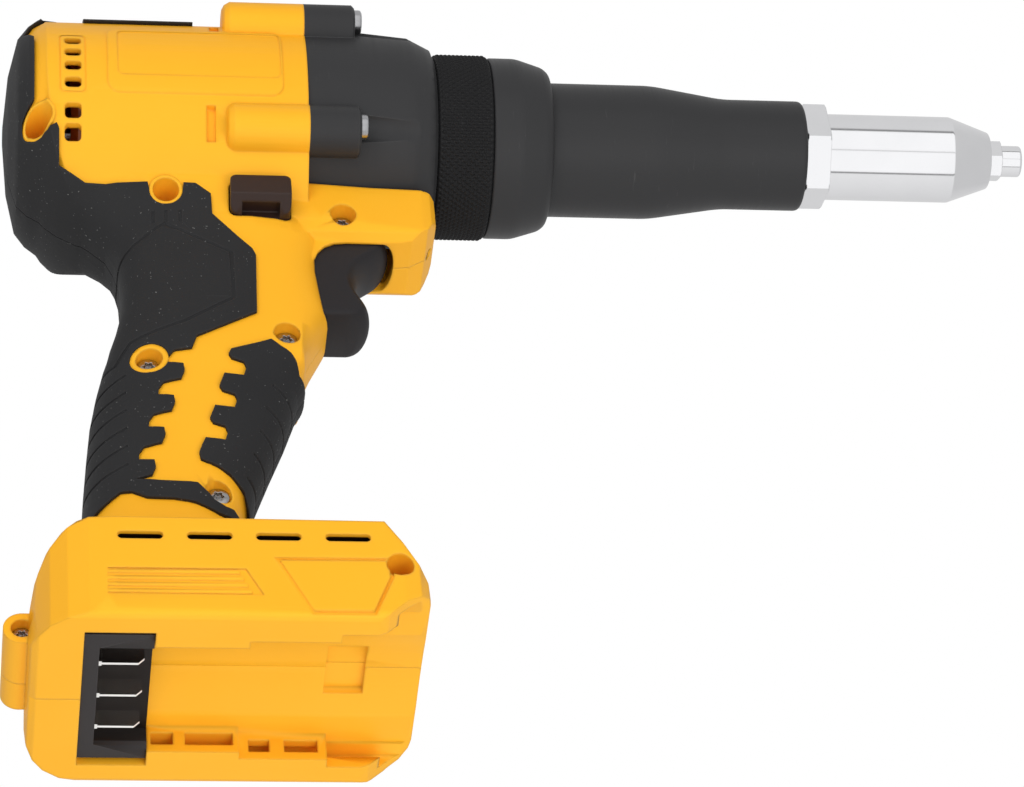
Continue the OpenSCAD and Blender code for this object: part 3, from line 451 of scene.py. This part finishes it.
# for each height: the lip's front in the frame, its new front, and how far its sides fall back
LIP_Z = np.array([106.0, 107.4, 110.0, 113.0, 117.0, 123.0, 130.0, 136.0])
LIP_WAS = np.array([82.4, 82.6, 88.4, 90.4, 91.0, 91.1, 90.8, 90.1])
LIP_NOW = np.array([82.4, 82.6, 83.4, 83.8, 84.0, 87.0, 90.8, 90.1])
LIP_ROUND = np.array([0.0, 0.0, 0.0, 0.0, 0.0, 2.5, 1.6, 0.0])


def corners(mesh):
    """All corners of a mesh as rows of x, y and z."""
    flat = np.empty(3 * len(mesh.vertices))
    mesh.vertices.foreach_get("co", flat)
    return flat.reshape(-1, 3)


def draw_in(mesh):
    """x = root + k (x - root) in front of the root; k takes the lip's old front to its new one."""
    points = corners(mesh) / MM
    x, y, z = points[:, 0] + X_MID, points[:, 1], points[:, 2]
    was = np.interp(z, LIP_Z, LIP_WAS)
    now = np.interp(z, LIP_Z, LIP_NOW) - np.interp(z, LIP_Z, LIP_ROUND) * (y / HANDLE_HW) ** 8
    share = np.clip((now - LIP_ROOT) / (was - LIP_ROOT), LEAST_SHARE, 1.0)
    inside = (z > LIP_Z[0]) & (z < LIP_Z[-1]) & (x > LIP_ROOT)
    points[:, 0] = np.where(inside, LIP_ROOT + share * (x - LIP_ROOT), x) - X_MID
    mesh.vertices.foreach_set("co", (points * MM).ravel())
    print("drawn in:", int(inside.sum()), "corners of", mesh.name)


# %% [markdown]
# ## Shells and grips
# The two housing halves, the gearbox case and the soft grips already have the right forms in
# the frame, but their meshes are loose flat triangles. A merged copy with soft shading keeps
# the other corners where they were and lets the lofted handle look smooth. The foot's wide
# corners have coarser facets than the handle, so down there an edge has to fold further before
# it counts as sharp.

# %% Merged copies of the moulded parts
NODE_WELD = 2e-6                              # metres, for the frame's own triangles
FOLD, FOOT_FOLD, FOOT_TOP = 14, 21.5, 50.0    # degrees, degrees in the foot, its height in mm


def folds(mesh, sharp):
    """True for each edge that folds by more than the given degrees."""
    mesh.set_sharp_from_angle(angle=math.radians(sharp))
    marks = np.zeros(len(mesh.edges), bool)
    mesh.attributes["sharp_edge"].data.foreach_get("value", marks)
    return marks


def mark_folds(mesh):
    """Sharp edges by one angle below the top of the foot and by another above it."""
    in_foot, elsewhere = folds(mesh, FOOT_FOLD), folds(mesh, FOLD)
    ends = np.empty(2 * len(mesh.edges), np.int32)
    mesh.edges.foreach_get("vertices", ends)
    low = corners(mesh)[ends, 2].reshape(-1, 2).max(1) < FOOT_TOP * MM
    mesh.attributes["sharp_edge"].data.foreach_set("value", np.where(low, in_foot, elsewhere))


def smooth_copy(node, finish, body, shape=None):
    """The node's triangles, welded where they meet, reshaped if asked, with soft shading."""
    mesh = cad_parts[node].data.copy()
    mesh.name = node + "_skin"
    weld(mesh, NODE_WELD, outward=False)
    if shape:
        shape(mesh)
    smooth(mesh, FOLD)
    mark_folds(mesh)
    return put_in(node + "_skin", mesh, finish, body, [node], even_light=True)


for side in ("right", "left"):
    smooth_copy("housing_" + side, yellow, "housing", draw_in)
    smooth_copy("rear_grip_" + side, rubber, "housing")
    smooth_copy("front_grip_" + side, rubber, "housing")
smooth_copy("top_pad", rubber, "housing")
smooth_copy("gearbox_case", case_black, "housing")
smooth_copy("terminal_block", brown_black, "housing")
smooth_copy("selector", selector_brown, "selector")

# %% [markdown]
# ## The knurled ring
# Two sets of crossing grooves, cut by rolling wheels, leave rows of small pyramids. Their
# height is the smaller of two saw-tooth waves that run up the ring in opposite directions, so
# the whole pattern is one formula on a grid.

# %% Knurled ring
RING_X, SLEEVE_X = 124.4, 140.9
RING_R, RING_BORE, RING_DROP = 27.2, 23.55, 1.3
KNURL_ROUND, KNURL_SLOPE, KNURL_DEPTH = 92, 0.42, 0.75
KNURL_BLUNT, KNURL_END, KNURL_FADE = 1.25, 0.7, 1.4    # flat tips, plain ends, their run-out


def knurl(count_x=78, per_tooth=8):
    """r = R - depth (1 - min(a, b)); a and b are triangle waves of angle plus and minus x."""
    t = np.linspace(0, FULL_TURN, KNURL_ROUND * per_tooth, endpoint=False)[None, :]
    x = np.linspace(RING_X + KNURL_END, SLEEVE_X - KNURL_END, count_x)[:, None]
    lead = KNURL_ROUND * t / FULL_TURN
    a = np.abs(2 * np.mod(lead + KNURL_SLOPE * x, 1) - 1)
    b = np.abs(2 * np.mod(lead - KNURL_SLOPE * x, 1) - 1)
    fade = np.clip(np.minimum(x - RING_X, SLEEVE_X - x) / KNURL_FADE, 0, 1)
    r = RING_R - KNURL_DEPTH * (1 - np.minimum(1, KNURL_BLUNT * np.minimum(a, b)) * fade)
    rim = RING_R - RING_DROP
    rows_x = np.concatenate([[[RING_X], [RING_X]], x, [[SLEEVE_X], [SLEEVE_X]]])
    rows_r = np.concatenate([[[RING_BORE], [rim]] + 0 * t, r, [[rim], [RING_BORE]] + 0 * t])
    return around(rows_x, rows_r, t)


make_piece("knurled_ring_skin", [knurl()], knurl_black, "housing", ["knurled_ring"],
           sharp=70)

# %% [markdown]
# ## Turned sleeves and the bright nose
# Everything in front of the ring was made on a lathe, so it is a profile turned round the
# axis. Corners get a small curve, because no turned edge is left raw. The hex collar is where
# a spanner goes: the six flats and a cone that cuts their corners, whichever is smaller.

# %% Front sleeve
# rows of x and radius, from the bore at the rear over the outside and back through the bore
FRONT_PROFILE = np.array([
    [140.9, 7.0], [140.9, 26.5], [149.0, 26.5], [157.0, 24.0], [158.8, 22.4], [158.95, 19.65],
    [189.5, 19.65], [210.9, 16.2], [234.9, 16.2], [234.9, 11.55], [220.4, 11.55], [220.4, 5.3],
    [203.9, 5.3], [203.9, 8.0], [161.0, 8.0], [161.0, 7.0]])
FRONT_SOFT = np.array([0.2, 0.8, 1.5, 1.2, 1.0, 0.4, 3.0, 3.0, 1.8] + [0.2] * 7)
front = turned(rounded(FRONT_PROFILE, FRONT_SOFT, steps=8), count=192)
make_piece("front_sleeve_skin", [front], sleeve_black, "housing", ["front_sleeve"])


# %% Nose sleeve with its hex collar
CONE_SLOPE, COLLAR_TURN = 1.9, math.radians(51.7)


def hexagon(t, across_flats, turn):
    """Distance from the middle of a hexagon to its edge in direction t."""
    return across_flats / 2 / np.cos(np.mod(t + turn, np.pi / 3) - np.pi / 6)


def hex_ring(x0, x1, across_flats, bore, turn, cut, count=192, rows=25):
    """Six flats whose corners a cone cuts at both ends: r is the smaller of the two."""
    t = (np.linspace(0, FULL_TURN, count + 1)[:-1] - turn)[None, :]
    x = np.concatenate([[x0], np.linspace(x0, x1, rows), [x1]])[:, None]
    corner = across_flats / 2 / np.cos(np.pi / 6)
    cone = corner - cut + np.minimum(x - x0, x1 - x) * CONE_SLOPE
    r = np.minimum(hexagon(t, across_flats, turn), cone)
    r[[0, -1]] = bore
    return around(x, r, t)


NOSE_PROFILE = np.array([
    [220.9, 9.3], [220.9, 11.5], [241.8, 11.5], [241.8, 12.7], [279.4, 12.7], [291.4, 8.3],
    [291.4, 5.05], [282.4, 5.05], [282.4, 9.3]])
NOSE_SOFT = np.array([0.2, 0.3, 0.1, 0.4, 0.35, 0.6, 0.2, 0.2, 0.2])
collar = hex_ring(234.9, 242.0, across_flats=27.0, bore=11.6, turn=COLLAR_TURN, cut=0.6)
nose = turned(rounded(NOSE_PROFILE, NOSE_SOFT, steps=8), count=192)
make_piece("nose_sleeve_skin", [nose, collar], polished, "housing", ["nose_sleeve"],
           sharp=24)

# %% Nosepiece
TIP_PROFILE = np.array([
    [282.0, 1.7], [282.0, 3.6], [284.3, 3.6], [284.3, 5.0], [291.6, 5.0], [295.0, 5.0],
    [295.3, 4.6], [301.4, 4.6], [301.4, 1.7]])
TIP_SOFT = np.array([0.1, 0.3, 0.1, 0.3, 0.1, 0.1, 0.2, 0.8, 0.3])
tip_hex = hex_ring(291.4, 295.2, across_flats=10.6, bore=4.9, turn=0.0, cut=0.35)
tip = turned(rounded(TIP_PROFILE, TIP_SOFT, steps=6), count=96)
make_piece("nosepiece_skin", [tip, tip_hex], polished, "housing", ["nosepiece"],
           sharp=24)

# %% [markdown]
# ## Trigger
# The trigger is moulded in one piece with a hollow for one finger. Seen from above, its front
# is a shallow arch; seen from the side, it is a soft S. So it is a stack of arches, one for
# each height, and the S says how far forward each of them reaches.

# %% Trigger
TRIGGER_BACK, TRIGGER_HW, TRIGGER_ARCH = 82.0, 9.5, 3.5
END_ROUND, END_DRAW = 1.3, 1.2                    # height and depth of the rounded ends
TOP_SPARE = 0.4                                   # how much of the round the top leaves out
SMOOTH_OVER = 7                                   # rows that share in each reach
# rows of height and reach
TRIGGER_ROWS = np.array([
    [131.7, 99.6], [132.3, 101.6], [133.6, 102.9], [135.4, 103.3], [137.6, 102.6],
    [140.4, 101.0], [143.6, 99.7], [147.0, 99.4], [150.4, 100.4], [153.4, 102.6],
    [155.8, 105.6], [157.6, 108.0], [159.2, 109.3], [160.6, 109.6]])
STEM = np.array([[66.0, 0.05], [66.0, 3.0], [82.6, 3.0], [82.6, 0.05]])
STEM_Z = 140.0


def arches(count=72, across=41):
    """x = front(z) - arch + arch cos t and y = w(z) sin t; w is drawn in near both ends."""
    z = np.linspace(TRIGGER_ROWS[0, 0], TRIGGER_ROWS[-1, 0], count)
    front = np.interp(z, *TRIGGER_ROWS.T)
    padded = np.pad(front, SMOOTH_OVER // 2, mode="reflect", reflect_type="odd")
    even = np.convolve(padded, np.ones(SMOOTH_OVER) / SMOOTH_OVER, "valid")
    front = np.minimum(even, front.max())
    near = np.clip(1 - np.minimum(z - z[0], z[-1] - z + TOP_SPARE) / END_ROUND, 0, 1)
    width = TRIGGER_HW - END_DRAW * (1 - np.sqrt(1 - near ** 2))
    t = np.linspace(-np.pi / 2, np.pi / 2, across)
    x = front[:, None] - TRIGGER_ARCH + TRIGGER_ARCH * np.cos(t)
    y = width[:, None] * np.sin(t)
    x = np.concatenate([np.full((count, 2), TRIGGER_BACK), x], 1)
    y = np.concatenate([width[:, None] * [[1.0, -1.0]], y], 1)
    return np.stack([x, y, z[:, None] + 0 * x], -1), False, True


def stem():
    """The round stem behind the trigger: a small profile turned about its own line."""
    grid, rows, cols = turned(STEM, count=48)
    return grid - [0, 0, AXIS_Z - STEM_Z], rows, cols


make_piece("trigger_skin", [arches(), stem()], black_nylon, "trigger", ["trigger"],
           sharp=40, capped=1)

# %% [markdown]
# ## Screws
# The heads sit deep in their wells, where light still finds the six-lobed socket. Each screw
# is one polar grid: rings of points that go down the socket, over the rim and along the shank.

# %% Screw form
HEAD_THICK, SHANK_R = 2.2, 1.6
SOCKET_SHARE, LOBE_SHARE, LOBES = 0.46, 0.17, 6
SOCKET_RINGS = np.array([0.0, 0.9, 0.96, 1.05])                  # shares of the lobed outline
HEAD_RINGS = np.array([0.8, 0.96, 1.0, 1.0])                     # shares of the head's radius
HEAD_DOWN = [1.35, 1.3, 0.1, 0.0, 0.06, 0.4, 0.8, HEAD_THICK]    # how deep each ring lies


def screw(head, direction, across, head_r, shank, count=48):
    """Rings round a line: the socket follows r = s (1 + share cos 6t), the rest is round."""
    t = np.linspace(0, FULL_TURN, count + 1)[:-1]
    lobe = SOCKET_SHARE * head_r * (1 + LOBE_SHARE * np.cos(LOBES * t))
    plain = np.concatenate([HEAD_RINGS * head_r, [SHANK_R, SHANK_R, 0.0]])
    r = np.concatenate([SOCKET_RINGS[:, None] * lobe, plain[:, None] + 0 * t])
    down = np.array(HEAD_DOWN + [HEAD_THICK, shank, shank])[:, None, None]
    along, side = np.asarray(direction, float), np.asarray(across, float)
    other = np.cross(along, side)
    return (np.asarray(head, float) + down * along + (r * np.cos(t))[..., None] * side
            + (r * np.sin(t))[..., None] * other), False, True


# %% Housing screws
INWARDS, FORWARDS = (0, 1, 0), (1, 0, 0)
HEAD_R, LUG_HEAD_R = 3.2, 2.8
# rows of x, z, distance of the head's seat from the middle and length behind it
SIDE_SCREWS = [(96.1, 165.9, 8.0, 16.0), (78.1, 117.9, 11.0, 19.0), (39.5, 106.8, 11.0, 19.0),
               (57.3, 60.0, 11.0, 19.0), (45.4, 168.8, 9.0, 18.0), (9.5, 188.3, 13.0, 24.0)]
LUG_SCREW, LUG_SHANK = (4.2, -14.4, 10.0), 22.0
side_grids = [screw((x, -deep - HEAD_THICK, z), INWARDS, FORWARDS, HEAD_R, HEAD_THICK + length)
              for x, z, deep, length in SIDE_SCREWS]
side_grids.append(screw(LUG_SCREW, INWARDS, FORWARDS, LUG_HEAD_R, LUG_SHANK))
make_piece("housing_screws_skin", side_grids, screw_steel, "housing", ["housing_screws"])

# %% Gearbox screws
BACKWARDS, SIDEWAYS = (-1, 0, 0), (0, 1, 0)
BOSS_FACE, BOSS_C, BOSS_HEAD_R, BOSS_SHANK = 103.2, 36.1, 3.6, 35.0
BOSS_TURNS = np.radians([36.5, 143.5, 216.5, 323.5])
boss_grids = [screw((BOSS_FACE, BOSS_C * math.cos(a), AXIS_Z + BOSS_C * math.sin(a)),
                    BACKWARDS, SIDEWAYS, BOSS_HEAD_R, BOSS_SHANK) for a in BOSS_TURNS]
make_piece("gearbox_screws_skin", boss_grids, machined, "housing", ["gearbox_screws"])

# %% [markdown]
# ## Lens and springs
# Three small pieces need a copy of their own. The light's lens is set back in its pocket, where
# only a dark slit of it shows.

# %% Lens and springs
LENS_TILT, LENS_SINK = math.radians(110), 0.6
lens = Finish("lens_clear")
film = lens.noise(lens.place(), 900.0, detail=2.0)
lens.close(base_color=colour(70, 66, 62), roughness=0.12 + 0.1 * film, coat_weight=0.5)
inward = -LENS_SINK * MM * Vector((math.sin(LENS_TILT), 0, math.cos(LENS_TILT)))
smooth_copy("led_lens", lens, "housing").data.transform(Matrix.Translation(inward))

TRIGGER_SPRING, JAW_SPRING = (74.45, STEM_Z), (250.05, AXIS_Z)   # seat of each spring, x and z
SPRING_LEFT, JAW_SPRING_LEFT = 0.06, 0.76   # share of the length left at the joint's limit
SPRINGS = [("trigger_spring", "housing", "trigger_pull", TRIGGER_SPRING, SPRING_LEFT),
           ("jaw_spring", "pull_head", "jaw_release", JAW_SPRING, JAW_SPRING_LEFT)]
for node, body, joint, (x, z), left in SPRINGS:
    spring = smooth_copy(node, machined, body)
    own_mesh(spring)

# %% [markdown]
# ## Pieces that stay as they are
# The works inside never face the camera, and the small contacts have the right shape already,
# so the frame's own solids stay and only take a finish. Most of them are plain machined steel,
# so only the others are listed.

# %% Finishes on the frame's own nodes
INSIDE = {"fan": black_nylon, "trigger_switch": black_nylon, "drive_nut": bronze,
          "stator_coils": copper, "control_board": board_green}
INSIDE.update({name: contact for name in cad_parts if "blade" in name})
for name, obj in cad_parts.items():
    finish = INSIDE.get(name, machined)
    if not obj.material_slots:
        obj.data.materials.append(finish.material)
    for held in obj.material_slots:
        held.material = finish.material
print("kept as packed:", sum(not obj.hide_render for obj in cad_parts.values()))

# %% [markdown]
# ## Floor
# The picture was taken from below the foot, so the floor must show from above and vanish from
# underneath. It answers only camera rays, and rays that came through something clear, where
# they meet its upper face: it throws no shade on the tool and stays out of reflections.

# %% Floor
FLOOR_REACH, FLOOR_Z = 3.0, -0.3 * MM
PAPER = (0.93, 0.93, 0.93, 1.0)
floor_mesh = bpy.data.meshes.new("floor")
floor_mesh.from_pydata([(FLOOR_REACH * x, FLOOR_REACH * y, FLOOR_Z)
                        for x, y in ((-1, -1), (1, -1), (1, 1), (-1, 1))], [], [(0, 1, 2, 3)])
floor = bpy.data.objects.new("floor", floor_mesh)
bpy.context.collection.objects.link(floor)
floor.visible_shadow = False


def seen_by_camera(f):
    """1 for rays from the camera, straight or through something clear, and 0 for others."""
    return (f.node("ShaderNodeLightPath", out="Is Camera Ray")
            + f.node("ShaderNodeLightPath", out="Is Transmission Ray"))


pale = Finish("pale_floor")
above = 1.0 - pale.node("ShaderNodeNewGeometry", out="Backfacing")
paper = pale.node("ShaderNodeBsdfDiffuse", {}, {"Color": PAPER})
clear = pale.node("ShaderNodeBsdfTransparent")
pale.node("ShaderNodeOutputMaterial", {}, {"Surface": pale.node(
    "ShaderNodeMixShader", {}, {0: seen_by_camera(pale) * above, 1: clear, 2: paper})})
floor_mesh.materials.append(pale.material)
print("floor:", 2 * FLOOR_REACH, "m wide")

# %% [markdown]
# ## World
# The world is white for the same rays. For all others it is a soft grey dome, brighter below
# than above, because the picture is lit from underneath. Mirrors see a third thing: dark bands
# that run round the barrel's line, so that the polished nose has something to draw. A lamp for
# each highlight would do that too, but it would light the rest of the tool as well.

# %% World
DOME_BELOW, DOME_ABOVE, DOME_TURN = 0.70, 0.18, 0.8
AHEAD_LOW, AHEAD_HIGH, AHEAD_GREY = 0.40, 0.62, (0.6, 0.6, 0.6, 1.0)   # plain grey up front
WHITE = (1, 1, 1, 1)
PER_TURN = 0.15915     # one turn over two pi, so that the bands are counted from 0 to 1
# places round the barrel's line and how bright the world is there
BANDS = [(0.0, 1.0), (0.062, 1.0), (0.066, 0.62), (0.070, 0.62), (0.074, 1.0), (0.229, 1.0),
         (0.233, 0.22), (0.241, 0.22), (0.246, 0.82), (0.5, 0.68), (0.75, 0.66), (0.885, 0.68),
         (0.897, 0.24), (0.908, 0.24), (0.912, 1.0)]
world = bpy.data.worlds.new("studio")
bpy.context.scene.world = world
sky = Finish("studio", world)
along, across, height = sky.parts(sky.node("ShaderNodeTexCoord", out="Generated"))
turn_round = sky.node("ShaderNodeMath", {"operation": "ARCTAN2"}, {0: height, 1: across})
bands = sky.node("ShaderNodeValToRGB", {"stops": BANDS}, {"Fac": turn_round * PER_TURN + 0.5})
bands = sky.mix(sky.ramp(along, AHEAD_LOW, AHEAD_HIGH), bands, AHEAD_GREY)
glow = DOME_BELOW + (DOME_ABOVE - DOME_BELOW) * sky.ramp(height, -DOME_TURN, DOME_TURN)
dome = sky.node("ShaderNodeBackground", {}, {"Color": WHITE, "Strength": glow})
mirror = sky.node("ShaderNodeBackground", {}, {"Color": bands, "Strength": 1.0})
white = sky.node("ShaderNodeBackground", {}, {"Color": WHITE, "Strength": 1.0})
glossy = sky.node("ShaderNodeLightPath", out="Is Glossy Ray")
lit = sky.node("ShaderNodeMixShader", {}, {0: glossy, 1: dome, 2: mirror})
sky.node("ShaderNodeOutputWorld", {}, {"Surface": sky.node(
    "ShaderNodeMixShader", {}, {0: seen_by_camera(sky), 1: lit, 2: white})})
print("world:", len(BANDS), "stops round the barrel")

# %% [markdown]
# ## Lamps
# Five soft square lamps stand round the tool, the strongest at the camera's side. They give
# light but stay out of reflections, so steel mirrors the tool itself and the bands of the
# world, and no bright squares.

# %% Lamps
MIDDLE = (0.0, 0.0, 0.12)


def lamp(name, place, size, power):
    """A soft square lamp at a place in metres, turned to face the middle of the tool."""
    data = bpy.data.lights.new(name, "AREA")
    data.size = size
    data.energy = power
    obj = bpy.data.objects.new(name, data)
    facing = (Vector(MIDDLE) - Vector(place)).to_track_quat("-Z", "Y")
    obj.matrix_world = Matrix.Translation(place) @ facing.to_matrix().to_4x4()
    obj.visible_glossy = False
    bpy.context.collection.objects.link(obj)
    print("lamp", name, power, "W")


lamp("key", (-0.55, -1.25, 0.25), size=0.9, power=7.8)
lamp("low", (0.35, -0.9, -0.75), size=0.9, power=7.0)
lamp("under", (0.0, 0.2, -1.1), size=0.8, power=2.4)
lamp("top", (0.25, -0.35, 1.3), size=0.8, power=1.0)
lamp("rim", (-0.5, 1.0, 0.7), size=0.8, power=2.0)

# %% [markdown]
# ## Camera
# The camera is fitted to the picture: the slopes of the barrel and of the foot's edges, and the
# ellipses of the round ends, give the three turns, and the foot's width gives the distance. A
# camera that is aimed by eye comes close, but then no edge can be compared.

# %% Camera
AZIMUTH, ELEVATION, ROLL = math.radians(-9.67), math.radians(-41.65), math.radians(5.4)
FOCAL_PX, FRAME_PX, SENSOR = 4945.0, 1024, 36.0
CAMERA_AT, FAR_END = (-0.1824, -1.02325, -0.81194), 20.0
back = Vector((math.sin(AZIMUTH) * math.cos(ELEVATION), -math.cos(AZIMUTH) * math.cos(ELEVATION),
               math.sin(ELEVATION)))
level = Vector((math.cos(AZIMUTH), math.sin(AZIMUTH), 0))
rise = back.cross(level)
right = math.cos(ROLL) * level - math.sin(ROLL) * rise
up = math.sin(ROLL) * level + math.cos(ROLL) * rise
camera_data = bpy.data.cameras.new("camera")
camera_data.sensor_fit = "HORIZONTAL"
camera_data.sensor_width = SENSOR
camera_data.lens = FOCAL_PX / FRAME_PX * SENSOR
camera_data.clip_end = FAR_END
camera = bpy.data.objects.new("camera", camera_data)
facing = Matrix((right, up, back)).transposed().to_4x4()
camera.matrix_world = Matrix.Translation(CAMERA_AT) @ facing
bpy.context.collection.objects.link(camera)
bpy.context.scene.camera = camera
bpy.context.scene.view_settings.view_transform = "Standard"
print("camera:", round(camera_data.lens, 1), "mm lens")
